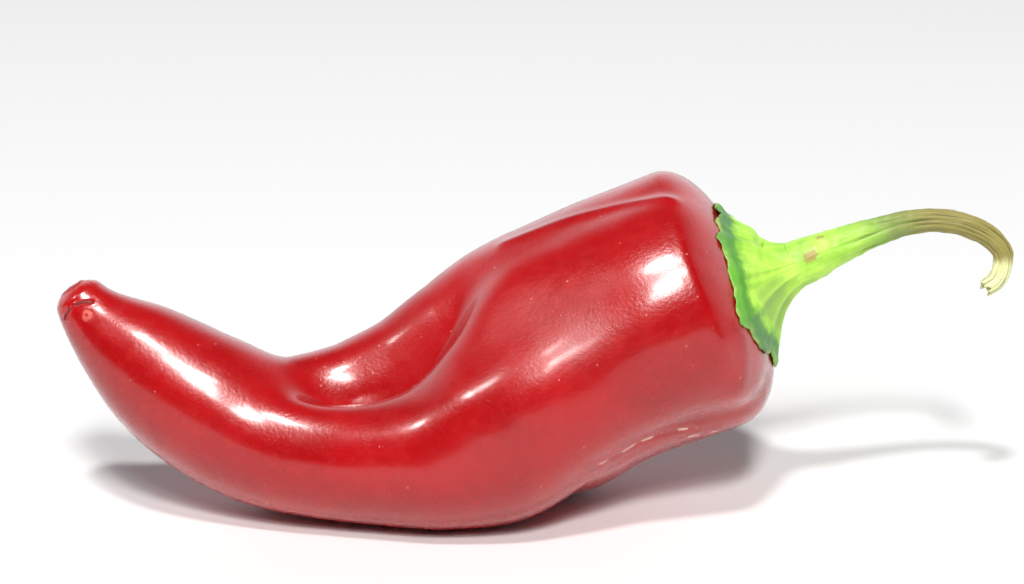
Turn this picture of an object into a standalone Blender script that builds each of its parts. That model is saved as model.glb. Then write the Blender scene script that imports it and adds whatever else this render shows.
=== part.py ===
"""A red chilli pepper as picked, lying on its belly: pod, calyx and stem.

Metres, +Z up. +X runs from the blossom tip to the stalk, +Y to the pod's plain back, and the origin lies on
the surface it rests on, under the middle of the whole pepper. The stations below are in millimetres.
"""

from math import pi

import bmesh
import bpy
import numpy as np

MM = 0.001

# Driving dimensions, in metres
POD_LENGTH = 0.1071  # along X, from the first to the last section's centre
POD_WIDTH = 0.041  # across the shoulder; the sections and their heights follow it
TIP_ROUND = 0.0020  # length of the rounding at the blossom tip
SHOULDER_ROUND = 0.0102  # length of the rounding at the stalk end
SHOULDER_CURVE_ALONG, SHOULDER_CURVE_ACROSS = 2.4, 2.1  # powers: 2 and 2 would make it an ellipse
LOBE_BLEND = 0.0034  # how widely one lobe runs into the next
DIMPLE_DEPTH = 0.0058
GROOVE_DEPTH = 0.0009
HOLLOW_DEPTH = 0.0044  # between the front ridge and the top ridge
FRONT_RIDGE_HEIGHT = 0.0011
CALYX_RADIUS = 0.0133
CALYX_LOBES = 6
CALYX_LOBE_SIZE = 0.0009  # how far a lobe reaches past the mean rim
CALYX_EDGE = 0.0006  # thickness at the rim
CALYX_NECK_HEIGHT = 0.0064  # from the pod's end to where the stem starts
NECK_RADIUS = 0.0037
STEM_LENGTH = 0.0339  # along X, from the neck to the outside of the hook
STEM_END_RADIUS = 0.0014
STEM_LEAD = 0.0020  # the stem leaves the neck square to it for this far
GAP = 0.0003  # clearance between two pieces that touch

DRAWN_LENGTH = 107.1  # the length and width at which the station tables are drawn
DRAWN_WIDTH = 41.0
DRAWN_STEM = 33.9

# Sections of the pod: centre x, y, z, then each lobe's centre, back and up from the section's, and its radius
SECTIONS = np.array([
    # centre            front lobe         back lobe          under lobe
    (-72.3, 11.5, 35.5, 0.0, 0.0, 2.0, 0.0, 0.0, 2.0, 0.0, 0.0, 2.0),
    (-69.7, 10.9, 31.9, 0.0, 0.0, 3.5, 0.0, 0.0, 3.5, 0.0, 0.0, 3.5),
    (-62.0, 9.6, 25.0, 0.0, 0.0, 7.8, 0.3, 0.0, 7.5, 0.0, 0.0, 7.5),
    (-52.0, 8.0, 17.5, -0.4, 0.2, 10.3, 1.0, 0.6, 9.4, 0.5, 0.0, 9.6),
    (-41.0, 7.0, 12.5, -2.4, -0.2, 10.2, 3.4, 2.4, 9.4, 1.8, -1.2, 9.8),
    (-30.0, 7.4, 11.9, -5.6, -1.3, 10.1, 6.2, 3.6, 9.4, 3.0, -2.6, 9.9),
    (-20.0, 8.5, 13.9, -8.0, -2.8, 11.8, 6.2, 3.7, 11.0, 4.2, -3.5, 11.4),
    (-10.0, 10.2, 17.2, -6.8, -1.6, 16.3, 5.0, 3.4, 14.6, 4.4, -4.6, 14.1),
    (0.0, 12.0, 21.4, -4.6, 1.2, 18.9, 4.0, 3.1, 17.2, 3.0, -5.3, 16.9),
    (10.0, 13.8, 25.5, -3.4, 1.5, 18.6, 3.4, 2.9, 17.8, 1.8, -3.8, 17.0),
    (19.5, 15.2, 29.3, -3.4, 1.2, 18.2, 3.2, 2.8, 18.0, 1.2, -4.2, 17.0),
    (27.5, 15.8, 32.2, -2.8, 0.9, 17.8, 3.0, 3.2, 17.9, 0.2, -3.6, 17.0),
    (34.8, 15.6, 35.3, -1.4, 1.2, 17.2, 2.2, 3.6, 17.7, -0.5, -1.8, 16.6),
])

# Troughs in the skin: section x, angle from up towards the front, share of the full depth, half width
DIMPLE = np.array([
    (-54.0, 20.0, 0.0, 20.0),
    (-47.0, 20.0, 0.02, 20.0),
    (-40.0, 20.0, 0.14, 21.0),
    (-32.0, 18.0, 0.52, 22.0),
    (-24.0, 15.0, 0.90, 22.0),
    (-16.0, 12.0, 1.0, 20.0),
    (-8.0, 9.0, 0.60, 17.0),
    (-1.0, 6.0, 0.19, 13.0),
    (10.0, 6.0, 0.09, 11.0),
    (25.0, 7.0, 0.10, 11.0),
    (34.8, 8.0, 0.05, 12.0),
])
GROOVE = np.array([
    (-5.0, 122.0, 0.0, 10.0),
    (6.0, 123.0, 0.55, 8.0),
    (16.0, 127.0, 1.0, 8.0),
    (27.0, 138.0, 1.0, 9.0),
    (34.8, 150.0, 0.66, 11.0),
])
HOLLOW = np.array([
    (-36.0, 56.0, 0.0, 30.0),
    (-26.0, 56.0, 0.05, 30.0),
    (-14.0, 56.0, 0.42, 33.0),
    (-6.0, 52.0, 0.75, 34.0),
    (2.0, 48.0, 0.85, 34.0),
    (10.0, 46.0, 0.42, 34.0),
    (17.0, 48.0, 0.11, 34.0),
    (24.0, 50.0, 0.0, 34.0),
    (30.0, 50.0, 0.0, 34.0),
])
FRONT_RIDGE = np.array([
    (-30.0, 70.0, 0.0, 15.0),
    (-20.0, 70.0, 0.45, 15.0),
    (-10.0, 68.0, 1.0, 15.0),
    (0.0, 68.0, 1.0, 15.0),
    (8.0, 68.0, 0.42, 15.0),
    (15.0, 68.0, 0.10, 15.0),
    (22.0, 68.0, 0.0, 15.0),
    (28.0, 68.0, 0.0, 15.0),
])

# Calyx from rim to neck: share of the way from the rim's radius in to the neck's, share of the neck's height
FLARE = np.array([
    (0.0, 0.0),
    (0.15, 0.07),
    (0.35, 0.12),
    (0.55, 0.22),
    (0.75, 0.50),
    (0.90, 0.76),
    (1.0, 1.0),
])

# Centre line of the stem from its foot: x, y, z, and the share of the way from foot radius to end radius
STEM_ROUTE = np.array([
    (5.2, 0.6, 2.2, 0.28),
    (11.2, 2.0, 4.2, 0.58),
    (17.8, 3.6, 5.7, 0.76),
    (22.8, 4.3, 5.8, 0.79),
    (27.4, 4.3, 4.8, 0.81),
    (30.8, 3.9, 3.0, 0.86),
    (32.5, 3.3, 0.9, 0.91),
    (32.5, 2.6, -1.4, 0.95),
    (31.5, 2.0, -3.4, 0.98),
    (29.9, 1.6, -4.4, 1.0),
])

POD_SIDES, POD_RINGS = 48, 52
CALYX_SIDES, CALYX_RINGS = 48, 18
STEM_POINTS = 26


def smooth_through(knots, values, at):
    """Cubic curve through the rows of values, with slopes averaged from the spans on both sides."""
    spans = np.diff(knots)
    slopes = np.diff(values, axis=0) / spans[:, None]
    weight = (spans[:-1] / (spans[:-1] + spans[1:]))[:, None]
    tangent = np.vstack([slopes[:1], slopes[:-1] * (1 - weight) + slopes[1:] * weight, slopes[-1:]])
    i = np.clip(np.searchsorted(knots, at, side="right") - 1, 0, len(knots) - 2)
    h = spans[i][:, None]
    t = (at[:, None] - knots[i][:, None]) / h
    start = (2 * t**3 - 3 * t**2 + 1) * values[i] + (t**3 - 2 * t**2 + t) * h * tangent[i]
    end = (3 * t**2 - 2 * t**3) * values[i + 1] + (t**3 - t**2) * h * tangent[i + 1]
    return start + end


def scaled_sections():
    """The section table in metres, stretched to the driving length and width."""
    table = SECTIONS * MM * POD_WIDTH * 1000 / DRAWN_WIDTH
    table[:, 0] = SECTIONS[:, 0] * MM * POD_LENGTH * 1000 / DRAWN_LENGTH
    return table


TABLE = scaled_sections()
STEPS = np.linalg.norm(np.diff(TABLE[:, :3], axis=0), axis=1)
SHARES = np.append(0.0, np.cumsum(STEPS)) / STEPS.sum()  # how far along the pod each section is
AXIS_LENGTH = STEPS.sum()


def section_frame(along):
    """Centre of the section at a share of the pod's length, its axis, and its back and up directions."""
    centre = smooth_through(SHARES, TABLE[:, :3], along)
    step = 0.001
    ahead = smooth_through(SHARES, TABLE[:, :3], np.clip(along + step, 0, 1))
    behind = smooth_through(SHARES, TABLE[:, :3], np.clip(along - step, 0, 1))
    axis = unit(ahead - behind)
    back = unit(np.cross((0.0, 0.0, 1.0), axis))
    return centre, axis, back, np.cross(axis, back)


def unit(vectors):
    return vectors / np.linalg.norm(vectors, axis=-1, keepdims=True)


def lobe_reach(lobe, angle):
    """How far a ray from the section's centre runs before it leaves a round lobe."""
    away, up, radius = lobe.T
    along_ray = up * np.cos(angle) - away * np.sin(angle)
    return along_ray + np.sqrt(np.maximum(radius**2 - away**2 - up**2 + along_ray**2, 1e-12))


def soft_max(a, b, width):
    nearness = np.maximum(width - np.abs(a - b), 0) / width
    return np.maximum(a, b) + nearness**2 * width / 4


def trough(table, depth, along, angle):
    """Depth of a trough at each point: a bell across its line, with the line and the depth read along it."""
    knots = np.interp(table[:, 0], SECTIONS[:, 0], SHARES)
    line = smooth_through(knots, table[:, 1:], np.clip(along, knots[0], knots[-1]))
    off_line = (np.degrees(angle) - line[:, 0] + 180) % 360 - 180
    return depth * np.maximum(line[:, 1], 0) * np.exp(-((off_line / line[:, 2]) ** 2))


def section_radius(along, angle):
    """Radius of the lobed section, before the ends are rounded."""
    lobes = smooth_through(SHARES, TABLE[:, 3:], along)
    front, back, under = (lobe_reach(lobes[:, k:k + 3], angle) for k in (0, 3, 6))
    radius = soft_max(soft_max(front, back, LOBE_BLEND), under, LOBE_BLEND)
    dents = ((DIMPLE, DIMPLE_DEPTH), (GROOVE, GROOVE_DEPTH), (HOLLOW, HOLLOW_DEPTH),
             (FRONT_RIDGE, -FRONT_RIDGE_HEIGHT))
    return radius - sum(trough(table, depth, along, angle) for table, depth in dents)


def end_rounding(along):
    """Share of the section's radius that the rounded tip and shoulder leave."""
    tip = np.clip(along * AXIS_LENGTH / TIP_ROUND, 0, 1)
    shoulder = np.clip((1 - along) * AXIS_LENGTH / SHOULDER_ROUND, 0, 1)
    shoulder = 1 - (1 - shoulder) ** SHOULDER_CURVE_ALONG
    return np.sqrt(tip * (2 - tip)) * shoulder ** (1 / SHOULDER_CURVE_ACROSS)


def pod_point(along, angle):
    """Point of the skin: angle 0 is up and a quarter turn is the front. The belly is flat where it rests."""
    centre, _, back, up = section_frame(along)
    radius = section_radius(along, angle) * end_rounding(along)
    points = centre - back * (np.sin(angle) * radius)[:, None] + up * (np.cos(angle) * radius)[:, None]
    points[:, 2] = np.maximum(points[:, 2], 0)
    return points


def shoulder_share(radius, angle):
    """Share of the pod's length at which the rounded shoulder has narrowed to a radius."""
    full = section_radius(np.ones_like(angle), angle)
    left = np.clip(radius / full, 0, 1) ** SHOULDER_CURVE_ACROSS
    return 1 - (1 - (1 - left) ** (1 / SHOULDER_CURVE_ALONG)) * SHOULDER_ROUND / AXIS_LENGTH


def sphere_object(name, sides, rings, place, collection):
    """A UV sphere whose vertices are moved to place(polar share, angle), closed with one vertex at each pole."""
    bm = bmesh.new()
    bmesh.ops.create_uvsphere(bm, u_segments=sides, v_segments=rings, radius=1.0)
    ball = np.array([v.co for v in bm.verts])
    polar = np.arccos(np.clip(ball[:, 2], -1, 1)) / pi
    angle = np.arctan2(ball[:, 1], ball[:, 0])
    for vertex, point in zip(bm.verts, place(polar, angle)):
        vertex.co = point
    if bm.calc_volume(signed=True) < 0:
        bmesh.ops.reverse_faces(bm, faces=bm.faces)
    bmesh.ops.triangulate(bm, faces=bm.faces)
    mesh = bpy.data.meshes.new(name)
    bm.to_mesh(mesh)
    bm.free()
    mesh.shade_smooth()
    return linked(name, mesh, collection)


def linked(name, data, collection):
    obj = bpy.data.objects.new(name, data)
    collection.objects.link(obj)
    return obj


def pod(collection):
    def place(polar, angle):
        return pod_point((1 - np.cos(pi * polar)) / 2, angle)

    return sphere_object("pod", POD_SIDES, POD_RINGS, place, collection)


def calyx(collection):
    """Cap on the shoulder: its inner face follows the skin, its outer face flares up into the neck."""
    _, axis, _, _ = section_frame(np.ones(1))

    def place(polar, angle):
        outer = polar < 0.5
        inward = np.where(outer, 1 - 2 * polar, 2 * polar - 1)
        rim = CALYX_RADIUS + CALYX_LOBE_SIZE * np.cos(CALYX_LOBES * angle)
        to_neck = np.minimum(inward / 0.8, 1)  # the last fifth of the outer face is the neck's flat top
        neck_top = np.clip((inward - 0.8) / 0.2, 0, 1)
        outer_radius = (rim + (NECK_RADIUS - rim) * to_neck) * (1 - neck_top)
        radius = np.where(outer, outer_radius, rim * (1 - inward))
        seat = pod_point(shoulder_share(radius, angle), angle)
        flare = smooth_through(FLARE[:, 0], FLARE[:, 1:], to_neck)[:, 0]
        lift = np.where(outer, CALYX_EDGE + (CALYX_NECK_HEIGHT - CALYX_EDGE) * flare, 0) + GAP
        return seat + axis * lift[:, None]

    return sphere_object("calyx", CALYX_SIDES, CALYX_RINGS, place, collection)


def stem(collection):
    """Tapering stalk that bends over into a hook, as a curve with a round bevel and filled ends."""
    centre, axis, _, _ = section_frame(np.ones(1))
    foot = (centre + axis * (CALYX_NECK_HEIGHT + 2 * GAP))[0]
    bend = STEM_ROUTE[:, :3] * MM * STEM_LENGTH * 1000 / DRAWN_STEM + foot
    route = np.vstack([foot, foot + axis[0] * STEM_LEAD, bend])
    taper_along = np.append((0.0, 0.05), STEM_ROUTE[:, 3])
    knots = np.append(0.0, np.cumsum(np.linalg.norm(np.diff(route, axis=0), axis=1)))
    at = np.append(0.0, np.linspace(STEM_LEAD, knots[-1], STEM_POINTS - 1))
    points = smooth_through(knots, np.column_stack([route, taper_along]), at)

    curve = bpy.data.curves.new("stem", "CURVE")
    curve.dimensions = "3D"
    curve.bevel_depth = NECK_RADIUS
    curve.bevel_resolution = 5
    curve.use_fill_caps = True
    spline = curve.splines.new("POLY")
    spline.points.add(STEM_POINTS - 1)
    for knot, (x, y, z, taper) in zip(spline.points, points):
        knot.co = (x, y, z, 1)
        knot.radius = 1 + (STEM_END_RADIUS / NECK_RADIUS - 1) * taper
    spline.use_smooth = True
    return linked("stem", curve, collection)


def material(name, colour, roughness):
    made = bpy.data.materials.new(name)
    made.use_nodes = True
    shader = made.node_tree.nodes["Principled BSDF"]
    shader.inputs["Base Color"].default_value = (*colour, 1)
    shader.inputs["Roughness"].default_value = roughness
    shader.inputs["Metallic"].default_value = 0
    return made


def centre_on_origin(objects):
    """Puts the origin under the middle of the whole pepper, on the surface it rests on."""
    bpy.context.view_layer.update()
    corners = np.array([o.matrix_world @ v.co for o in map(evaluated, objects) for v in o.data.vertices])
    middle = (corners.min(axis=0) + corners.max(axis=0)) / 2
    for obj in objects:
        obj.location = (-middle[0], -middle[1], 0)


def evaluated(obj):
    """Object as the viewport draws it; a curve gives its swept surface."""
    graph = bpy.context.evaluated_depsgraph_get()
    result = obj.evaluated_get(graph)
    if obj.type == "CURVE":
        return bpy.data.objects.new("swept", bpy.data.meshes.new_from_object(result))
    return result


def main():
    for obj in list(bpy.data.objects):
        bpy.data.objects.remove(obj)
    collection = bpy.data.collections.new("chilli_pepper")
    bpy.context.scene.collection.children.link(collection)
    pieces = [pod(collection), calyx(collection), stem(collection)]
    pieces[0].data.materials.append(material("red skin", (0.48, 0.01, 0.012), 0.25))
    pieces[1].data.materials.append(material("green calyx", (0.25, 0.55, 0.06), 0.5))
    pieces[2].data.materials.append(material("green stalk", (0.30, 0.42, 0.09), 0.55))
    centre_on_origin(pieces)


main()
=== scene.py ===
from math import cos, pi, radians, sin

import bpy
import numpy as np
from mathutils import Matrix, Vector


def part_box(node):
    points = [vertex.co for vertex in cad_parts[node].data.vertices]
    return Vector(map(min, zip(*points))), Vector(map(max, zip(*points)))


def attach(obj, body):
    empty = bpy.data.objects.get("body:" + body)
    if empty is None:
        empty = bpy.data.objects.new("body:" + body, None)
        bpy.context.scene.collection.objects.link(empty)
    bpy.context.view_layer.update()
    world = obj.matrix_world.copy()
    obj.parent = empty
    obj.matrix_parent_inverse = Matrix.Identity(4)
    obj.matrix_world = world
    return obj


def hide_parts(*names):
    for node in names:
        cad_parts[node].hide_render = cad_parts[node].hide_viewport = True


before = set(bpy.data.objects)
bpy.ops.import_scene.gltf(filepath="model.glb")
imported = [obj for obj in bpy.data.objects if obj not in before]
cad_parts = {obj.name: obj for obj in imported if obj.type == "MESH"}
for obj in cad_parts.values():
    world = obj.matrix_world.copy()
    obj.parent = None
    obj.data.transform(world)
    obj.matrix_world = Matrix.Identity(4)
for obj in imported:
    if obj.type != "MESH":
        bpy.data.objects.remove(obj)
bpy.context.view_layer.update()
mm = 0.001
print("frame loaded:", sorted(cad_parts))


def unit(vectors):  # each vector over its own length
    return vectors / np.linalg.norm(vectors, axis=-1, keepdims=True)


def bell(distance, width):  # e to minus the square of distance over width
    return np.exp(-((distance / width) ** 2))


def smoothStep(low, high, value):  # three squares less two cubes of the share of the way from low to high
    share = np.clip((value - low) / (high - low), 0, 1)
    return share * share * (3 - 2 * share)


def smoothThrough(knots, values, at):
    # A Hermite cubic through the rows. The slope at a row is the mean of the slopes on its two sides,
    # each weighted by the length of the other side.
    knots, values, at = np.asarray(knots, float), np.asarray(values, float), np.asarray(at, float)
    spans = np.diff(knots)
    slopes = np.diff(values, axis=0) / spans[:, None]
    weight = (spans[:-1] / (spans[:-1] + spans[1:]))[:, None]
    tangent = np.vstack([slopes[:1], slopes[:-1] * (1 - weight) + slopes[1:] * weight, slopes[-1:]])
    row = np.clip(np.searchsorted(knots, at, side="right") - 1, 0, len(knots) - 2)
    span = spans[row][..., None]
    t = (at - knots[row])[..., None] / span
    start = (2 * t**3 - 3 * t**2 + 1) * values[row] + (t**3 - 2 * t**2 + t) * span * tangent[row]
    end = (3 * t**2 - 2 * t**3) * values[row + 1] + (t**3 - t**2) * span * tangent[row + 1]
    return start + end


def aroundThrough(angles, values, at):  # the same cubic on a closed round of degrees
    angles, values = np.asarray(angles, float), np.asarray(values, float)[:, None]
    knots = np.concatenate([angles - 360, angles, angles + 360])
    return smoothThrough(knots, np.vstack([values] * 3), np.asarray(at) % 360)[..., 0]


def turnFrom(degrees, at):  # difference of two angles, from -180 to 180
    return (degrees - at + 180) % 360 - 180


def ripples(points, length, waves, seed):
    # The sum of plane waves in seeded directions, over the root of their number: about -1 to 1.
    draw = np.random.default_rng(seed)
    heading = unit(draw.normal(size=(waves, 3)))
    pitch = 2 * pi / (length * draw.uniform(0.7, 1.4, waves))
    phase = draw.uniform(0, 2 * pi, waves)
    total = np.zeros(points.shape[:-1])
    for way, turns, start in zip(heading, pitch, phase):
        total += np.sin(points @ way * turns + start)
    return total / np.sqrt(waves)


def swells(points, rows):  # the sum of ripples, each row with its height, length, waves and seed
    return sum(height * ripples(points, length, waves, seed) for height, length, waves, seed in rows)


def bells(distance, rows):  # the sum of bells beside a line, each row with its height, place and width
    return sum(height * bell(distance - place, width) for height, place, width in rows)


def sines(angle, rows):  # the sum of height times the sine of count times the angle plus phase
    return sum(height * np.sin(count * angle + phase) for height, count, phase in rows)


def awayFrom(points, line):  # distance of each point from the nearest of a line's short straight runs
    nearest = np.full(points.shape[:-1], np.inf)
    for a, b in zip(line[:-1], line[1:]):
        run = b - a
        share = np.clip((points - a) @ run / (run @ run), 0, 1)
        nearest = np.minimum(nearest, np.linalg.norm(points - a - share[..., None] * run, axis=-1))
    return nearest


def normalsOf(points):  # cross product of the steps along and around a grid that closes around
    along = np.gradient(points, axis=0)
    around = np.roll(points, -1, axis=1) - np.roll(points, 1, axis=1)
    return unit(np.cross(along, around))


def grainWay(radius, angle, along):  # radius times cosine and sine of the angle, then the way along
    return np.stack(np.broadcast_arrays(radius * np.cos(angle), radius * np.sin(angle), along), axis=-1)


def closedSkin(name, points, marks):
    # A grid of rings from one end to the other: each ring closes on itself, each end on a middle point.
    # The UV map has the way around in U and the way along in V; each mark becomes an attribute.
    rings, sides = points.shape[:2]
    ends = np.array([points[0].mean(axis=0), points[-1].mean(axis=0)])
    ring, side = np.meshgrid(np.arange(rings - 1), np.arange(sides), indexing="ij")
    after = (side + 1) % sides
    quads = np.stack([ring * sides + side, ring * sides + after,
                      (ring + 1) * sides + after, (ring + 1) * sides + side], axis=-1).reshape(-1, 4)
    quadUv = np.stack([side, ring, side + 1, ring, side + 1, ring + 1, side, ring + 1], axis=-1)
    first = np.arange(sides)
    second = (first + 1) % sides
    last = (rings - 1) * sides
    startPole = np.stack([second, first, np.full(sides, rings * sides)], axis=-1)
    endPole = np.stack([last + first, last + second, np.full(sides, rings * sides + 1)], axis=-1)
    still, far = np.zeros(sides), np.full(sides, rings - 1.0)
    startUv = np.stack([first + 1, still, first, still, first + 0.5, still], axis=-1)
    endUv = np.stack([first, far, first + 1, far, first + 0.5, far], axis=-1)

    mesh = bpy.data.meshes.new(name)
    spots = np.vstack([points.reshape(-1, 3), ends]) * mm
    mesh.from_pydata(spots.tolist(), [], quads.tolist() + startPole.tolist() + endPole.tolist())
    uv = np.concatenate([quadUv.reshape(-1, 2), startUv.reshape(-1, 2), endUv.reshape(-1, 2)])
    uv = uv / (sides, rings - 1)
    mesh.uv_layers.new(name="UVMap").data.foreach_set("uv", uv.astype(np.float32).ravel())
    for mark, values in marks.items():
        parts = np.broadcast_to(values, (rings, sides) + values.shape[2:]).reshape(rings, sides, -1)
        whole = np.vstack([parts.reshape(rings * sides, -1), parts[0].mean(axis=0), parts[-1].mean(axis=0)])
        kind, field = ("FLOAT", "value") if whole.shape[1] == 1 else ("FLOAT_VECTOR", "vector")
        mesh.attributes.new(mark, kind, "POINT").data.foreach_set(field, whole.astype(np.float32).ravel())
    mesh.shade_smooth()
    made = bpy.data.objects.new(name, mesh)
    bpy.context.scene.collection.objects.link(made)
    return made


def onBody(piece, node, material):  # hands a finished piece to the frame
    piece.data.materials.append(material)
    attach(piece, "root")
    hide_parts(node)
    print("made", piece.name, len(piece.data.polygons), "faces")


class Wire:  # an output socket; arithmetic on it adds Math nodes
    def __init__(self, nodes, socket):
        self.nodes = nodes
        self.socket = socket

    def __add__(self, other):
        return self.nodes.math("ADD", self, other)

    def __sub__(self, other):
        return self.nodes.math("SUBTRACT", self, other)

    def __rsub__(self, other):
        return self.nodes.math("SUBTRACT", other, self)

    def __mul__(self, other):
        return self.nodes.math("MULTIPLY", self, other)

    __radd__ = __add__
    __rmul__ = __mul__


class Nodes:  # the nodes of a material or world; node() adds any node and the rest are short forms of it
    def __init__(self, owner):
        owner.use_nodes = True
        self.owner = owner
        self.tree = owner.node_tree

    def node(self, kind, settings, sockets, out=0):
        made = self.tree.nodes.new(kind)
        for name, value in settings.items():
            setattr(made, name, value)
        self.feed(made, sockets)
        return Wire(self, made.outputs[out])

    def feed(self, made, sockets):
        for name, value in sockets.items():
            if isinstance(value, Wire):
                self.tree.links.new(value.socket, made.inputs[name])
            elif made.inputs[name].type == "RGBA":
                made.inputs[name].default_value = (*value, 1)
            else:
                made.inputs[name].default_value = value

    def finish(self, last, sockets):  # feeds the node that ends the tree and gives back its owner
        self.feed(self.tree.nodes[last], sockets)
        return self.owner

    def math(self, operation, *values):
        return self.node("ShaderNodeMath", {"operation": operation}, dict(enumerate(values)))

    def place(self):
        return self.node("ShaderNodeTexCoord", {}, {}, out="Object")

    def mark(self, name, out="Fac"):
        return self.node("ShaderNodeAttribute", {"attribute_name": name}, {}, out=out)

    def noise(self, place, size, detail, rough):  # size of a blotch in millimetres
        sockets = {"Vector": place, "Scale": 1 / (size * mm), "Detail": detail, "Roughness": rough}
        return self.node("ShaderNodeTexNoise", {}, sockets)

    def between(self, value, low, high, to=(0.0, 1.0)):  # a soft step from low to high
        sockets = {"Value": value, "From Min": low, "From Max": high, "To Min": to[0], "To Max": to[1]}
        return self.node("ShaderNodeMapRange", {"interpolation_type": "SMOOTHSTEP"}, sockets)

    def mix(self, share, under, over):  # a colour mix has its factor on socket 0 and its colours on 6 and 7
        return self.node("ShaderNodeMix", {"data_type": "RGBA"}, {0: share, 6: under, 7: over}, out=2)

    def bump(self, height, depth, under=None):  # depth in millimetres for a height of one
        sockets = {"Height": height, "Distance": depth * mm, "Strength": 1.0}
        if under:
            sockets["Normal"] = under
        return self.node("ShaderNodeBump", {}, sockets)


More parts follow.
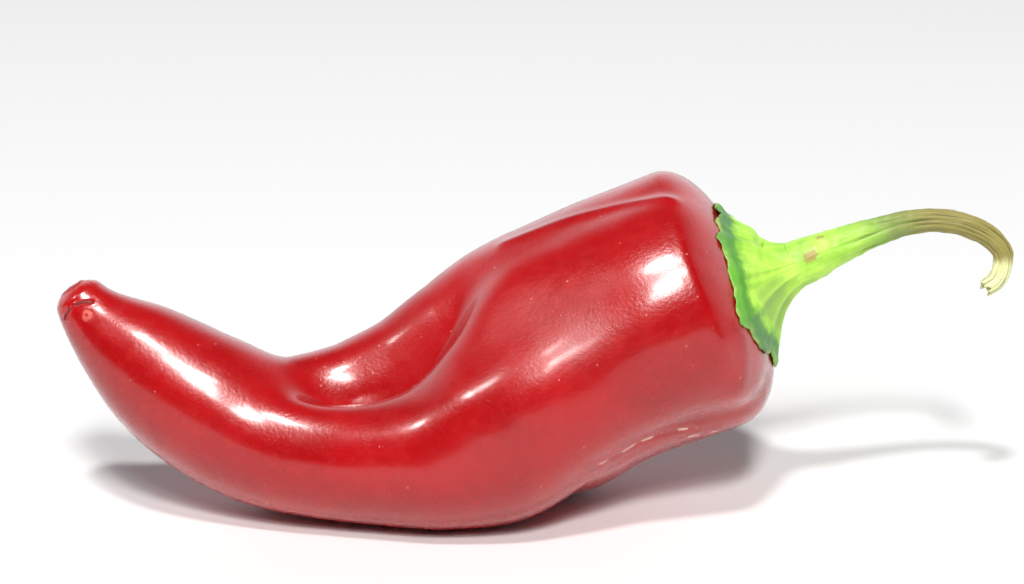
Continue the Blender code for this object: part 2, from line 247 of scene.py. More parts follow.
pod = {
    "rings": 330,
    "sides": 290,
    "tipRound": 2.0,
    "shoulderRound": 10.2,
    "shoulderCurve": (2.4, 2.1),  # powers of the shoulder's rounding, along and across
    "lobeBlend": 3.4,
    # centre x, y, z, then front, back and under lobe: back, up, radius
    "sections": np.array([
        (-72.3, 11.5, 35.5, 0.0, 0.0, 2.0, 0.0, 0.0, 2.0, 0.0, 0.0, 2.0),
        (-69.7, 10.9, 31.9, 0.0, 0.0, 3.5, 0.0, 0.0, 3.5, 0.0, 0.0, 3.5),
        (-62.0, 9.6, 25.0, 0.0, 0.0, 7.8, 0.3, 0.0, 7.5, 0.0, 0.0, 7.5),
        (-52.0, 8.0, 17.5, -0.4, 0.2, 10.3, 1.0, 0.6, 9.4, 0.5, 0.0, 9.6),
        (-41.0, 7.0, 12.5, -2.4, -0.2, 10.2, 3.4, 2.4, 9.4, 1.8, -1.2, 9.8),
        (-30.0, 7.4, 11.9, -5.6, -1.3, 10.1, 6.2, 3.6, 9.4, 3.0, -2.6, 9.9),
        (-20.0, 8.5, 13.9, -8.0, -2.8, 11.8, 6.2, 3.7, 11.0, 4.2, -3.5, 11.4),
        (-10.0, 10.2, 17.2, -6.8, -1.6, 16.3, 5.0, 3.4, 14.6, 4.4, -4.6, 14.1),
        (0.0, 12.0, 21.4, -4.6, 1.2, 18.9, 4.0, 3.1, 17.2, 3.0, -5.3, 16.9),
        (10.0, 13.8, 25.5, -3.4, 1.5, 18.6, 3.4, 2.9, 17.8, 1.8, -3.8, 17.0),
        (19.5, 15.2, 29.3, -3.4, 1.2, 18.2, 3.2, 2.8, 18.0, 1.2, -4.2, 17.0),
        (27.5, 15.8, 32.2, -2.8, 0.9, 17.8, 3.0, 3.2, 17.9, 0.2, -3.6, 17.0),
        (34.8, 15.6, 35.3, -1.4, 1.2, 17.2, 2.2, 3.6, 17.7, -0.5, -1.8, 16.6),
    ]),
    # each dent has a depth, and rows of section x, angle from up towards the front, share of the depth
    # and half width in degrees; the front ridge is a dent of less than nothing
    "dents": {
        "dimple": (5.8, np.array([
            (-54.0, 20.0, 0.0, 20.0),
            (-47.0, 20.0, 0.02, 20.0),
            (-40.0, 20.0, 0.14, 21.0),
            (-32.0, 18.0, 0.52, 22.0),
            (-24.0, 15.0, 0.90, 22.0),
            (-16.0, 12.0, 1.0, 20.0),
            (-8.0, 9.0, 0.60, 17.0),
            (-1.0, 6.0, 0.19, 13.0),
            (10.0, 6.0, 0.09, 11.0),
            (25.0, 7.0, 0.10, 11.0),
            (34.8, 8.0, 0.05, 12.0),
        ])),
        "groove": (0.9, np.array([
            (-5.0, 122.0, 0.0, 10.0),
            (6.0, 123.0, 0.55, 8.0),
            (16.0, 127.0, 1.0, 8.0),
            (27.0, 138.0, 1.0, 9.0),
            (34.8, 150.0, 0.66, 11.0),
        ])),
        "hollow": (4.4, np.array([
            (-36.0, 56.0, 0.0, 30.0),
            (-26.0, 56.0, 0.05, 30.0),
            (-14.0, 56.0, 0.42, 33.0),
            (-6.0, 52.0, 0.75, 34.0),
            (2.0, 48.0, 0.85, 34.0),
            (10.0, 46.0, 0.42, 34.0),
            (17.0, 48.0, 0.11, 34.0),
            (24.0, 50.0, 0.0, 34.0),
            (30.0, 50.0, 0.0, 34.0),
        ])),
        "frontRidge": (-1.1, np.array([
            (-30.0, 70.0, 0.0, 15.0),
            (-20.0, 70.0, 0.45, 15.0),
            (-10.0, 68.0, 1.0, 15.0),
            (0.0, 68.0, 1.0, 15.0),
            (8.0, 68.0, 0.42, 15.0),
            (15.0, 68.0, 0.10, 15.0),
            (22.0, 68.0, 0.0, 15.0),
            (28.0, 68.0, 0.0, 15.0),
        ])),
    },
    # lines and spots on the skin: millimetres from the tip along the middle line, and the angle
    "tipSlit": [(3.4, 118), (2.9, 102), (2.5, 85), (2.7, 70), (3.2, 58), (3.8, 48)],
    "tipBlot": (5.0, 72),
    "corkLine": [(83.6, 122), (88.8, 124.5), (92.2, 126), (94.8, 128), (99.8, 133), (102.5, 138)],
    "corkSpur": [(100.5, 143), (103.5, 147), (106.0, 151)],
    "backFold": [(86.0, 352), (94.0, 356), (101.0, 2), (107.0, 9), (113.0, 17)],
    "shoulderNick": [(116.4, 92), (116.2, 102), (114.8, 112), (112.6, 119)],
    "bloom": [(67.5, 352.0, 8.0), (88.0, 66.0, 8.5), (81.0, 38.0, 7.0)],  # and half width
    # rise of the skin beside each of them: height, distance from its line, width
    "rises": {
        "slit": [(-0.22, 0.0, 0.26), (0.05, 0.6, 0.35)],
        "scar": [(-0.08, 1.7, 0.4)],
        "blot": [(0.05, 0.7, 0.35)],
        "cork": [(-0.14, 0.9, 0.7)],
        "fold": [(-0.24, 0.0, 1.3), (-0.06, 0.0, 0.4)],
        "nick": [(-0.16, 0.0, 1.6)],
    },
    "corkLip": (0.08, 0.5),  # height and width
    # colour beside each of them: strength, distance from its line, width
    "stains": {
        "slit": [(1.0, 0.0, 0.26)],
        "scar": [(1.0, 1.6, 0.6), (0.5, 0.0, 1.5)],
        "blot": [(1.0, 0.55, 0.45)],
        "cork": [(1.0, 0.0, 0.34)],
        # the fold and nick rows mask painted shade along those creases
        "fold": [(1.0, 0.0, 0.45)],
        "nick": [(1.0, 0.0, 1.4)],
    },
    "tipFade": 3.2,
    # width of the painted shade on the skin under the calyx rim
    "rimShade": 1.1,
    # height, length, number of waves and seed
    "swells": [(0.045, 16.0, 14, 3), (0.008, 4.0, 16, 4)],
    "tipSwells": [(0.06, 1.7, 20, 5), (0.05, 0.8, 20, 6)],
    "tipSwellReach": 2.6,
    "slitTorn": [(0.10, 1.1, 10, 9)],
    "blotTorn": [(0.10, 0.9, 10, 8)],
    "corkBreaks": [(1.0, 3.2, 8, 12)],
    "corkWorn": [(0.4, 3.0, 8, 7)],
    "grain": (16.0, 5.0),  # how far round the grain's pattern runs, and how far it is drawn out
    "colours": {
        "deep": (0.38, 0.001, 0.003),
        "red": (0.47, 0.003, 0.006),
        "mottle": (0.50, 0.009, 0.011),
        "fibre": (0.72, 0.03, 0.03),
        "tip": (0.70, 0.03, 0.02),
        # painted shade: the dark red laid in the back fold, the shoulder nick and under the calyx rim
        "paintedShade": (0.26, 0.002, 0.006),
        "cork": (0.90, 0.62, 0.50),
        "blot": (0.88, 0.22, 0.18),
        "scar": (0.24, 0.03, 0.02),
        "slit": (0.16, 0.001, 0.003),
        "fleck": (0.85, 0.25, 0.20),
    },
}
table = pod["sections"]
steps = np.linalg.norm(np.diff(table[:, :3], axis=0), axis=1)
axisLength = steps.sum()
shares = np.append(0.0, np.cumsum(steps)) / axisLength  # how far along the pod each section is


def sectionFrame(along):  # centre at a share of the length, its axis, and its back and up directions
    centre = smoothThrough(shares, table[:, :3], along)
    ahead = smoothThrough(shares, table[:, :3], np.clip(along + 0.001, 0, 1))
    behind = smoothThrough(shares, table[:, :3], np.clip(along - 0.001, 0, 1))
    axis = unit(ahead - behind)
    back = unit(np.cross((0.0, 0.0, 1.0), axis))
    return centre, axis, back, np.cross(axis, back)


def lobeReach(away, up, radius, angle):
    # How far a ray from the centre runs inside a round lobe: the lobe's middle along the ray, plus the
    # root of the radius squared less the square of the middle's distance from the ray.
    alongRay = up * np.cos(angle) - away * np.sin(angle)
    return alongRay + np.sqrt(np.maximum(radius**2 - away**2 - up**2 + alongRay**2, 1e-6))


def softMax(a, b, width):  # the larger of two, raised by a quarter of the width where they are equal
    nearness = np.maximum(width - np.abs(a - b), 0) / width
    return np.maximum(a, b) + nearness**2 * width / 4


def trough(depth, rows, along, angle):  # a bell across a line that wanders along the pod
    knots = np.interp(rows[:, 0], table[:, 0], shares)
    at = smoothThrough(knots, rows[:, 1:], np.clip(along, knots[0], knots[-1]))
    return depth * np.maximum(at[..., 1], 0) * bell(turnFrom(np.degrees(angle), at[..., 0]), at[..., 2])


def sectionRadius(along, angle):  # the soft maximum of the three lobes, less the dents
    lobes = np.moveaxis(smoothThrough(shares, table[:, 3:], along), -1, 0)
    front, back, under = (lobeReach(*lobes[first:first + 3], angle) for first in (0, 3, 6))
    radius = softMax(softMax(front, back, pod["lobeBlend"]), under, pod["lobeBlend"])
    return radius - sum(trough(depth, rows, along, angle) for depth, rows in pod["dents"].values())


def endRounding(along):  # a quarter circle at the tip; at the shoulder, one less a power, to a power
    powerAlong, powerAcross = pod["shoulderCurve"]
    tip = np.clip(along * axisLength / pod["tipRound"], 0, 1)
    shoulder = np.clip((1 - along) * axisLength / pod["shoulderRound"], 0, 1)
    return np.sqrt(tip * (2 - tip)) * (1 - (1 - shoulder) ** powerAlong) ** (1 / powerAcross)


def podPoint(along, angle):  # point of the skin; angle 0 is up and a quarter turn is the front
    centre, _, back, up = sectionFrame(along)
    radius = (sectionRadius(along, angle) * endRounding(along))[..., None]
    points = centre - back * np.sin(angle)[..., None] * radius + up * np.cos(angle)[..., None] * radius
    points[..., 2] = np.maximum(points[..., 2], 0)
    return points


def shoulderShare(radius, angle):  # share of the length at which the shoulder has narrowed to a radius
    powerAlong, powerAcross = pod["shoulderCurve"]
    full = sectionRadius(np.ones_like(angle), angle)
    left = np.clip(radius / full, 0, 1) ** powerAcross
    return 1 - (1 - (1 - left) ** (1 / powerAlong)) * pod["shoulderRound"] / axisLength


def onSkin(line):  # points of the skin along a smooth line through millimetres along and degrees around
    line = np.array(line, float)
    fine = np.linspace(0, 1, 6 * len(line))
    angles = np.degrees(np.unwrap(np.radians(line[:, 1])))
    path = smoothThrough(np.linspace(0, 1, len(line)), np.column_stack([line[:, 0], angles]), fine)
    return podPoint(path[:, 0] / axisLength, np.radians(path[:, 1]))


def fromSpot(points, fromTip, degrees):  # distance of each point from one spot of the skin
    spot = podPoint(np.array([fromTip / axisLength]), np.radians([degrees]))
    return np.linalg.norm(points - spot, axis=-1)


def podGrid(rings, sides):  # rings crowd towards both ends, as one less the cosine of even steps
    polar = np.arange(1, rings + 1) / (rings + 1)
    around = np.arange(sides) / sides * 2 * pi
    return np.meshgrid((1 - np.cos(pi * polar)) / 2, around, indexing="ij")


drawn = podPoint(*podGrid(90, 120)).reshape(-1, 3)  # a coarse skin is enough to find its middle
drawnMiddle = (drawn.min(axis=0) + drawn.max(axis=0)) / 2
frameMiddle = (np.array(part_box("pod")[0]) + np.array(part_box("pod")[1])) / 2 / mm
shift = (frameMiddle - drawnMiddle) * (1, 1, 0)  # from the drawn sections to the frame
tipMiddle = sectionFrame(np.zeros(1))[0]
neckMiddle, neckAxis, _, _ = sectionFrame(np.ones(1))
print("shift to the frame, mm:", shift.round(3))


def podPiece():
    # The skin is podPoint on the grid, plus its normal times the height of swells and marks.
    along, angle = podGrid(pod["rings"], pod["sides"])
    points = podPoint(along, angle)
    cork = [awayFrom(points, onSkin(pod[name])) for name in ("corkLine", "corkSpur")]
    away = {
        "slit": awayFrom(points, onSkin(pod["tipSlit"])) + swells(points, pod["slitTorn"]),
        "scar": np.linalg.norm(points - tipMiddle, axis=-1),
        "blot": fromSpot(points, *pod["tipBlot"]) + swells(points, pod["blotTorn"]),
        "cork": np.minimum(*cork),
        "fold": awayFrom(points, onSkin(pod["backFold"])),
        "nick": awayFrom(points, onSkin(pod["shoulderNick"])),
    }
    lipHeight, lipWidth = pod["corkLip"]
    height = swells(points, pod["swells"])
    height += bell(away["scar"], pod["tipSwellReach"]) * swells(points, pod["tipSwells"])
    height += lipHeight * bell(away["cork"], lipWidth) * (0.6 + swells(points, pod["corkWorn"]))
    for name, rows in pod["rises"].items():
        height += bells(away[name], rows)
    offFloor = smoothStep(0.0, 0.7, points[..., 2])  # the belly stays flat where it rests
    points = points + normalsOf(points) * (height * offFloor)[..., None]
    points[..., 2] = np.maximum(points[..., 2], 0)

    # the colours follow the same distances, and only the cork, the painted shade under the calyx rim and the
    # bloom see the raised skin
    marks = {name: bells(away[name], rows) for name, rows in pod["stains"].items()}
    marks["cork"] = marks["cork"] * smoothStep(-0.9, 0.4, swells(points, pod["corkBreaks"]))
    marks["tip"] = bell(away["scar"], pod["tipFade"])
    # painted shade on the skin just under the calyx rim, towards the shoulder end
    fromNeck = np.linalg.norm(np.cross(points - neckMiddle, neckAxis), axis=-1)
    rimShadeMark = bell(fromNeck - calyxRim(np.degrees(angle)), pod["rimShade"])
    marks["rim"] = rimShadeMark * smoothStep(0.8, 0.95, along)
    bloom = sum(bell(fromSpot(points, reach, turn), wide) for reach, turn, wide in pod["bloom"])
    marks["bloom"] = np.minimum(bloom, 1)
    around, drawnOut = pod["grain"]
    marks["grainWay"] = grainWay(around, angle, along * axisLength / drawnOut)
    return closedSkin("pod_skin", points + shift, marks)


def podFinish():  # red in soft clouds, fine fibres along the pod, pale flecks, and the marks over them, with painted shade in the creases and under the calyx rim
    finish = Nodes(bpy.data.materials.new("red pepper skin"))
    tint = pod["colours"]
    place = finish.place()
    cloud = finish.noise(place, 18.0, 3.0, 0.5)
    mottle = finish.noise(place, 2.6, 4.0, 0.6)
    grain = finish.noise(place, 0.55, 3.0, 0.65)
    fibre = finish.noise(finish.mark("grainWay", "Vector"), 700.0, 3.0, 0.6)
    cells = finish.node("ShaderNodeTexVoronoi", {"feature": "F1"},
                        {"Vector": place, "Scale": 1 / (2.7 * mm), "Randomness": 1.0}, out="Distance")
    flecks = finish.between(cells - finish.noise(place, 6.0, 2.0, 0.5) * 0.12, 0.02, -0.02)
    slit, scar, blot, cork, bloom = (finish.mark(name) for name in ("slit", "scar", "blot", "cork", "bloom"))
    fold, nick, tip, rim = (finish.mark(name) for name in ("fold", "nick", "tip", "rim"))

    layers = [  # how much of each colour goes over those before it
        (finish.between(mottle, 0.45, 0.75) * 0.35, "mottle"),
        (finish.between(fibre, 0.5, 0.8) * 0.15, "fibre"),
        (tip * 0.3, "tip"),
        # painted shade in the back fold, the shoulder nick and under the calyx rim
        (fold * 0.4 + nick * 0.3 + rim * 0.35, "paintedShade"),
        (finish.between(cork + grain * 0.5 - 0.25, 0.45, 0.75), "cork"),
        (finish.between(blot + grain * 0.8 - 0.4, 0.30, 1.1) * 0.6, "blot"),
        (finish.between(scar + grain * 0.8 - 0.4, 0.5, 1.0) * 0.75, "scar"),
        (finish.between(slit + grain * 0.15, 0.30, 0.8) * 0.9, "slit"),
        (flecks * 0.6, "fleck"),
    ]
    colour = finish.mix(finish.between(cloud, 0.35, 0.68), tint["deep"], tint["red"])
    for share, name in layers:
        colour = finish.mix(share, colour, tint[name])

    rough = finish.between(mottle, 0.3, 0.8, (0.24, 0.32))
    rough = rough + cork * 0.25 + slit * 0.3 + scar * 0.2 + bloom * 0.14
    coat = (1 - slit) * (1 - scar) * (1 - bloom * 0.8) * 0.85
    skin = finish.bump(mottle, 0.02)
    skin = finish.bump(fibre, 0.012, skin)
    skin = finish.bump(grain, 0.055, skin)
    skin = finish.bump(flecks, 0.04, skin)
    return finish.finish("Principled BSDF", {
        "Base Color": colour, "Roughness": rough, "Normal": skin, "IOR": 1.5, "Specular IOR Level": 0.35,
        "Coat Weight": coat, "Coat Roughness": 0.15, "Coat IOR": 1.45})


calyx = {
    "rings": 150,
    "sides": 360,
    "innerShare": 0.4,  # share of the rings that line the inner face
    "neckShare": 0.92,  # share of the way in at which the outer face has reached the neck
    "neckHeight": 6.4,
    "neckRadius": 3.3,
    "edge": 0.34,
    "edgeReach": 0.16,  # share of the way in over which the edge curls
    "gap": 0.05,
    # angle and the rim's distance from the end axis
    "rim": [(8, 13.0), (18, 13.4), (26, 12.6), (34, 13.9), (48, 13.3), (62, 13.6), (74, 14.3), (88, 15.6),
            (95, 15.6), (98, 14.9), (108, 14.2), (119, 14.0), (134, 12.8), (148, 12.2), (162, 13.4),
            (176, 12.7), (205, 14.2), (228, 12.4), (255, 14.0), (282, 12.6), (310, 13.9), (332, 12.7),
            (350, 13.8)],
    # share of the way in from the rim, share of the neck's height; past one it runs up the stalk
    "flare": [(0.0, 0.0), (0.15, 0.05), (0.35, 0.12), (0.55, 0.24), (0.75, 0.47), (0.87, 0.73), (0.94, 0.98),
              (0.98, 1.20), (1.0, 1.45)],
    "ribs": 6,
    "ribHeight": 0.45,
    "veinHeight": 0.10,
    "teeth": [(0.07, 17, 1.3), (0.05, 43, 0.0), (0.05, 71, 0.4)],  # height, count, phase
    "curls": [(0.7, 6, 7), (0.49, 352, 6), (0.21, 122, 7)],  # height, angle, half width
    "humps": [(1.3, 0.46, 0.16), (-2.0, 0.82, 0.09)],  # on the upper side: height, share in, width
    "crinkle": [(0.12, 1.6, 12, 11)],
    "grain": (4.0, 0.1),
    "colours": {"facet": (0.30, 0.50, 0.10), "band": (0.10, 0.42, 0.03), "dry": (0.10, 0.24, 0.09),
                "crust": (0.40, 0.50, 0.30), "straw": (0.45, 0.55, 0.16)},
}


def calyxRim(degrees):  # distance of the calyx's edge from the end axis, with small torn teeth
    angles, radii = np.array(calyx["rim"], float).T
    return aroundThrough(angles, radii, degrees) + sines(np.radians(degrees), calyx["teeth"])


def calyxPiece():
    # Two faces that meet at the rim: the inner one lies on the pod's shoulder, and the outer one stands
    # over it by the edge, the flare to the neck, the ribs and the curls, all measured along the end axis.
    inner, neck, neckShare = calyx["innerShare"], calyx["neckRadius"], calyx["neckShare"]
    polar = (np.arange(calyx["rings"]) + 0.5) / calyx["rings"]
    polar, angle = np.meshgrid(polar, np.arange(calyx["sides"]) / calyx["sides"] * 2 * pi, indexing="ij")
    degrees = np.degrees(angle)
    outer = polar > inner
    inward = np.where(outer, (polar - inner) / (1 - inner), 1 - polar / inner)
    toNeck = np.minimum(inward / neckShare, 1)
    rim = calyxRim(degrees)
    radius = np.where(outer, rim + (neck - rim) * toNeck, rim * (1 - inward))
    radius = radius * np.where(outer, 1 - smoothStep(neckShare, 1.0, inward) * 0.98, 1)
    seat = podPoint(shoulderShare(radius, angle), angle)

    flareTable = np.array(calyx["flare"])
    flare = smoothThrough(flareTable[:, 0], flareTable[:, 1:], toNeck)[..., 0]
    atEdge = bell(inward, calyx["edgeReach"])
    above = bell(turnFrom(degrees, 12), 30)
    ribs = np.cos(calyx["ribs"] * angle - 0.5) ** 8
    veins = np.sin(29 * angle + 2 * np.sin(5 * angle)) * 0.5 + np.sin(53 * angle + 1.0) * 0.3
    waves = 0.12 * np.clip(np.sin(5 * angle + 0.6) + 0.5 * np.sin(13 * angle), 0, 2)
    curl = atEdge * (waves + sum(high * bell(degrees - at, wide) for high, at, wide in calyx["curls"]))
    crinkle = atEdge * swells(np.stack([radius, angle * 9, 0 * radius], axis=-1), calyx["crinkle"])
    lift = calyx["edge"] * np.minimum(1, np.sqrt(np.maximum(inward, 0) / 0.03))
    lift = lift + (calyx["neckHeight"] - calyx["edge"]) * flare
    lift = lift + above * bells(inward, calyx["humps"])
    onLeaf = smoothStep(0.02, 0.3, inward) * (1 - smoothStep(0.8, 1.0, inward))
    lift = lift + (calyx["ribHeight"] * ribs + calyx["veinHeight"] * veins) * onLeaf
    lift = np.where(outer, lift, 0) + calyx["gap"] + curl + crinkle
    around, drawnOut = calyx["grain"]
    marks = {
        "inward": np.where(outer, inward, 0),
        "rib": ribs,
        "above": above,
        "below": bell(turnFrom(degrees, 118), 24),
        "facet": smoothStep(84, 96, degrees + 14 * inward) * (1 - smoothStep(150, 165, degrees)),
        "grainWay": grainWay(around, angle, inward * drawnOut),
    }
    return closedSkin("calyx_cap", seat + neckAxis * lift[..., None] + shift, marks)


stalk = {
    "rings": 420,
    "lipRings": 12,
    "hollowRings": 48,
    "sides": 96,
    "aboveNeck": 0.6,
    "lead": 2.0,
    "buried": 0.9,
    "hollow": 1.9,
    "lipShare": 0.74,  # share of the radius inside the broken edge, then at the hollow's bottom
    "bottomShare": 0.2,
    "footRadius": 3.7,
    "endRadius": 1.4,
    # centre line from its foot: x, y, z, and the share of the way from foot radius to end radius
    "route": np.array([
        (5.2, 0.6, 2.2, 0.28),
        (11.2, 2.0, 4.2, 0.58),
        (17.8, 3.6, 5.7, 0.76),
        (22.8, 4.3, 5.8, 0.79),
        (27.4, 4.3, 4.8, 0.81),
        (30.8, 3.9, 3.0, 0.86),
        (32.5, 3.3, 0.9, 0.91),
        (32.5, 2.6, -1.4, 0.95),
        (31.5, 2.0, -3.4, 0.98),
        (29.9, 1.6, -4.4, 1.0),
    ]),
    # angle, how far out it starts, half width in degrees
    "grooves": [(40, 13, 7), (75, 5, 6), (130, 9, 7), (183, 10, 8), (228, 7, 7), (277, 9, 8), (325, 12, 7),
                (100, 19, 5), (58, 22, 5)],
    "grooveDepth": 0.15,
    "torn": [(0.5, 3, 0.5), (0.35, 7, 0.0), (0.2, 12, 1.0)],
    "tornReach": 1.2,
    "tornHeight": 0.55,
    "swells": [(0.05, 2.2, 16, 21)],
    # strength, then distance out and its half width, angle and its half width
    "spots": [(1.0, 3.0, 1.4, 66, 19), (0.8, 5.4, 1.2, 26, 14)],
    "grain": (4.0, 12.0),
    "colours": {"olive": (0.22, 0.36, 0.08), "dry": (0.36, 0.28, 0.08), "end": (0.86, 0.88, 0.46),
                "groove": (0.05, 0.06, 0.012), "streak": (0.13, 0.13, 0.03), "bruise": (0.42, 0.24, 0.08),
                "hollow": (0.12, 0.10, 0.03)},
}


def stalkPiece():
    # A ring carried along the route: spokes times the tapering radius, less ribs and grooves. The profile
    # runs out along the stalk, turns over the broken edge and comes back into the hollow.
    foot = (neckMiddle + neckAxis * (calyx["neckHeight"] + stalk["aboveNeck"]))[0]
    start = foot - neckAxis[0] * stalk["buried"]
    route = np.vstack([start, foot, foot + neckAxis[0] * stalk["lead"], stalk["route"][:, :3] + foot])
    taper = np.concatenate([(0.0, 0.0, 0.05), stalk["route"][:, 3]])
    knots = np.append(0.0, np.cumsum(np.linalg.norm(np.diff(route, axis=0), axis=1)))
    length = knots[-1]
    lip, hollow = stalk["lipRings"], stalk["hollowRings"]
    outside = stalk["rings"] - lip - hollow
    reach = np.concatenate([np.linspace(0, 1, outside), np.ones(lip),
                            np.linspace(1, 1 - stalk["hollow"] / length, hollow)]) * length
    wall = np.concatenate([np.ones(outside), np.linspace(1, stalk["lipShare"], lip),
                           np.linspace(stalk["lipShare"], stalk["bottomShare"], hollow)])
    line = smoothThrough(knots, np.column_stack([route, taper]), reach)
    ahead = smoothThrough(knots, route, np.clip(reach + 0.05, 0, length))
    behind = smoothThrough(knots, route, np.clip(reach - 0.05, 0, length))
    tangent = unit(ahead - behind)
    side = unit(np.cross(tangent, (0.0, 1.0, 0.0)))
    front = np.cross(side, tangent)

    radius = stalk["footRadius"] + (stalk["endRadius"] - stalk["footRadius"]) * line[:, 3]
    along = reach[:, None]
    angle = np.arange(stalk["sides"])[None, :] / stalk["sides"] * 2 * pi
    degrees = np.degrees(angle)
    cuts = 0
    for at, starts, wide in stalk["grooves"]:
        wander = at + 5 * np.sin(along / 4.5 + at)
        fade = 0.62 + 0.38 * np.sin(along / 2.6 + 2.3 * at) * np.sin(along / 4.1 + at)
        cuts = cuts + fade * bell(turnFrom(degrees, wander), wide) * smoothStep(starts, starts + 3, along)
    ribs = 0.5 * np.abs(np.sin(2.5 * angle + 0.4)) + 0.3 * np.abs(np.sin(4.0 * angle + 1.1))
    ribDepth = 0.03 + 0.08 * smoothStep(3.0, 14.0, along)
    shape = 1 + ribDepth * (ribs - 0.45) - stalk["grooveDepth"] * cuts
    spokes = side[:, None] * np.cos(angle)[..., None] - front[:, None] * np.sin(angle)[..., None]
    points = line[:, None, :3] + spokes * (radius[:, None] * wall[:, None] * shape)[..., None]
    ragged = sines(angle, stalk["torn"]) * smoothStep(length - stalk["tornReach"], length, along)
    points = points + tangent[:, None] * (ragged * stalk["tornHeight"])[..., None]
    points = points + normalsOf(points) * swells(points, stalk["swells"])[..., None]
    spots = sum(strength * bell(np.hypot((along - out) / long, (degrees - at) / wide), 1.0)
                for strength, out, long, at, wide in stalk["spots"])
    around, drawnOut = stalk["grain"]
    marks = {
        "spot": spots,
        "grainWay": grainWay(around, angle, along / drawnOut),
        "reach": along,
        "groove": cuts,
        "hollow": 1 - wall[:, None],
    }
    return closedSkin("stalk", points + shift, marks)


greens = {"lime": (0.36, 0.70, 0.07), "bright": (0.58, 0.94, 0.12), "deep": (0.04, 0.25, 0.025),
          "streak": (0.20, 0.52, 0.05)}


def greenBase(name):  # what calyx and stalk share: lime in brighter clouds, with streaks along the grain
    finish = Nodes(bpy.data.materials.new(name))
    place = finish.place()
    streak = finish.noise(finish.mark("grainWay", "Vector"), 900.0, 4.0, 0.65)
    cloud = finish.noise(place, 3.5, 3.0, 0.55)
    grain = finish.noise(place, 0.45, 3.0, 0.6)
    colour = finish.mix(finish.between(cloud, 0.3, 0.7), greens["lime"], greens["bright"])
    colour = finish.mix(finish.between(streak, 0.52, 0.75) * 0.35, colour, greens["streak"])
    return finish, streak, cloud, grain, colour


def greenFinish(finish, streak, grain, colour, layers):  # the layers over the colour, then the satin grain
    for share, over in layers:
        colour = finish.mix(share, colour, over)
    skin = finish.bump(grain, 0.06, finish.bump(streak, 0.22))
    rough = finish.between(grain, 0.2, 0.8, (0.36, 0.52))
    return finish.finish("Principled BSDF", {
        "Base Color": colour, "Roughness": rough, "Normal": skin, "IOR": 1.42})


def calyxFinish():  # dark bands part of the way in, dried patches above and below, straw on the edge
    finish, streak, cloud, grain, colour = greenBase("green calyx")
    tint = calyx["colours"]
    inward, rib, above, below, facet = (
        finish.mark(name) for name in ("inward", "rib", "above", "below", "facet"))
    facet = facet * finish.between(inward, 0.30, 0.45) * finish.between(inward, 0.86, 0.70)
    band = finish.between(inward + cloud * 0.30 + streak * 0.25, 0.66, 0.40)
    inner = finish.between(inward + streak * 0.2, 0.36, 0.28)
    inner = inner * finish.between(inward + cloud * 0.2, 0.16, 0.24)
    dry = finish.between(inward + cloud * 0.25, 0.42, 0.26) * (above + below)
    edge = finish.between(inward, 0.05, 0.02) * finish.between(cloud, 0.45, 0.6)
    return greenFinish(finish, streak, grain, colour, [
        (facet * 0.75, tint["facet"]),
        (band * 0.8, tint["band"]),
        (inner * 0.6, greens["deep"]),
        (dry * 0.8, tint["dry"]),
        (dry * finish.between(grain, 0.55, 0.7) * 0.5, tint["crust"]),
        (edge * 0.6, tint["straw"]),
        (rib * finish.between(inward, 0.3, 0.5) * 0.3, greens["bright"]),
    ])


def stalkFinish():  # lime at the foot, olive and then straw further out, with dark grooves and bruises
    finish, streak, cloud, grain, colour = greenBase("green stalk")
    tint = stalk["colours"]
    reach, groove, hollow, spot = (finish.mark(name) for name in ("reach", "groove", "hollow", "spot"))
    return greenFinish(finish, streak, grain, colour, [
        (finish.between(reach + cloud * 10, 12.0, 24.0), tint["olive"]),
        (finish.between(reach + streak * 14, 19.0, 32.0) * 0.85, tint["dry"]),
        (finish.between(reach + streak * 3, 38.5, 40.5), tint["end"]),
        (finish.between(groove + streak * 0.5 - 0.25, 0.42, 0.95) * 0.8, tint["groove"]),
        (finish.between(streak, 0.54, 0.72) * finish.between(reach, 8.0, 16.0) * 0.5, tint["streak"]),
        (finish.between(spot + grain * 0.9 - 0.45, 0.45, 0.8) * 0.8, tint["bruise"]),
        (finish.between(hollow, 0.4, 0.7), tint["hollow"]),
    ])


view = {
    "aim": (-3.6, 15.0, 33.5),  # in the pod's drawn coordinates
    "rise": 17.0,
    "distance": 447.0,
    "lens": 100.0,
}
studio = {
    "floorHalf": 4.0,  # metres
    "floorColour": (0.885, 0.895, 0.91),
    "lampColour": (1.0, 0.99, 0.96),
    "lampAway": 2.5,  # metres
    # name: rise and turn in degrees (0 is over the camera, plus is to the right), width, height, watts
    "lamps": {
        "high": (68.5, -12.0, 0.28, 0.28, 30.0),
        "middle": (49.0, 4.0, 0.40, 0.40, 36.0),
        "low": (41.0, 2.0, 0.40, 0.40, 12.0),
        # panels that only the gloss shows
        "high sheen": (67.0, -9.0, 0.70, 0.36, 34.0),
        "left sheen": (45.0, -66.0, 0.40, 0.26, 15.0),
        "right sheen": (57.0, 11.0, 0.64, 0.28, 16.0),
    },
    "front": (0.03, 0.03, 0.03),
    "behind": (0.94, 0.955, 0.99),
    "above": (0.06, 0.06, 0.06),
    "strength": 1.10,
}


def floor():  # one square face at the height that the pepper rests on
    mesh = bpy.data.meshes.new("floor")
    half = studio["floorHalf"]
    corners = [(-half, -half, 0), (half, -half, 0), (half, half, 0), (-half, half, 0)]
    mesh.from_pydata(corners, [], [(0, 1, 2, 3)])
    made = bpy.data.objects.new("floor", mesh)
    bpy.context.scene.collection.objects.link(made)
    finish = Nodes(bpy.data.materials.new("white card"))
    mesh.materials.append(finish.finish("Principled BSDF", {
        "Base Color": studio["floorColour"], "Roughness": 0.9, "Specular IOR Level": 0.1}))
    print("laid the floor")


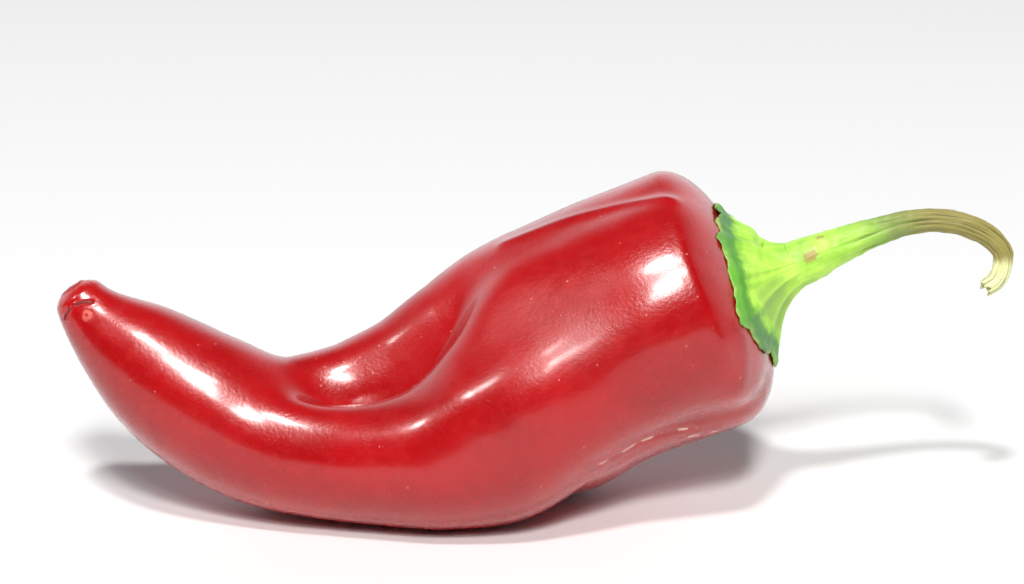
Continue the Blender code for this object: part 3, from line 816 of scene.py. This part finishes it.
def lamps():  # round lamps that face the pepper from their rise and turn
    aim = (np.array(view["aim"]) + shift) * mm
    for name, (rise, turn, width, height, watts) in studio["lamps"].items():
        data = bpy.data.lights.new(name, "AREA")
        data.shape = "ELLIPSE"
        data.color = studio["lampColour"]
        data.size = width
        data.size_y = height
        data.energy = watts
        made = bpy.data.objects.new(name, data)
        rise, turn = radians(rise), radians(turn)
        out = np.array([sin(turn) * cos(rise), -cos(turn) * cos(rise), sin(rise)])
        made.location = aim + out * studio["lampAway"]
        made.rotation_euler = (pi / 2 - rise, 0, turn)
        made.visible_diffuse = not name.endswith("sheen")
        bpy.context.scene.collection.objects.link(made)
    print("hung", len(studio["lamps"]), "lamps")


def surroundings():  # white behind and dim in front and above, by the direction of the ray
    world = bpy.data.worlds.new("studio")
    bpy.context.scene.world = world
    sky = Nodes(world)
    way = sky.node("ShaderNodeTexCoord", {}, {}, out="Generated")
    back, up = (sky.node("ShaderNodeSeparateXYZ", {}, {"Vector": way}, out=out) for out in ("Y", "Z"))
    colour = sky.mix(sky.between(back, -0.10, 0.50), studio["front"], studio["behind"])
    colour = sky.mix(sky.between(up, 0.35, 0.8), colour, studio["above"])
    sky.finish("Background", {"Color": colour, "Strength": studio["strength"]})
    print("lit the surroundings")


def camera():  # looks level across and down by its rise, from its distance off the aim
    data = bpy.data.cameras.new("camera")
    data.lens = view["lens"]
    data.sensor_width = 36.0
    data.clip_start = 0.01
    made = bpy.data.objects.new("camera", data)
    rise = radians(view["rise"])
    aim = (np.array(view["aim"]) + shift) * mm
    made.location = aim + np.array([0, -cos(rise), sin(rise)]) * view["distance"] * mm
    made.rotation_euler = (pi / 2 - rise, 0, 0)
    bpy.context.scene.collection.objects.link(made)
    bpy.context.scene.camera = made
    print("placed the camera")


onBody(podPiece(), "pod", podFinish())
onBody(calyxPiece(), "calyx", calyxFinish())
onBody(stalkPiece(), "stem", stalkFinish())
floor()
lamps()
surroundings()
camera()
bpy.context.scene.view_settings.view_transform = "Standard"
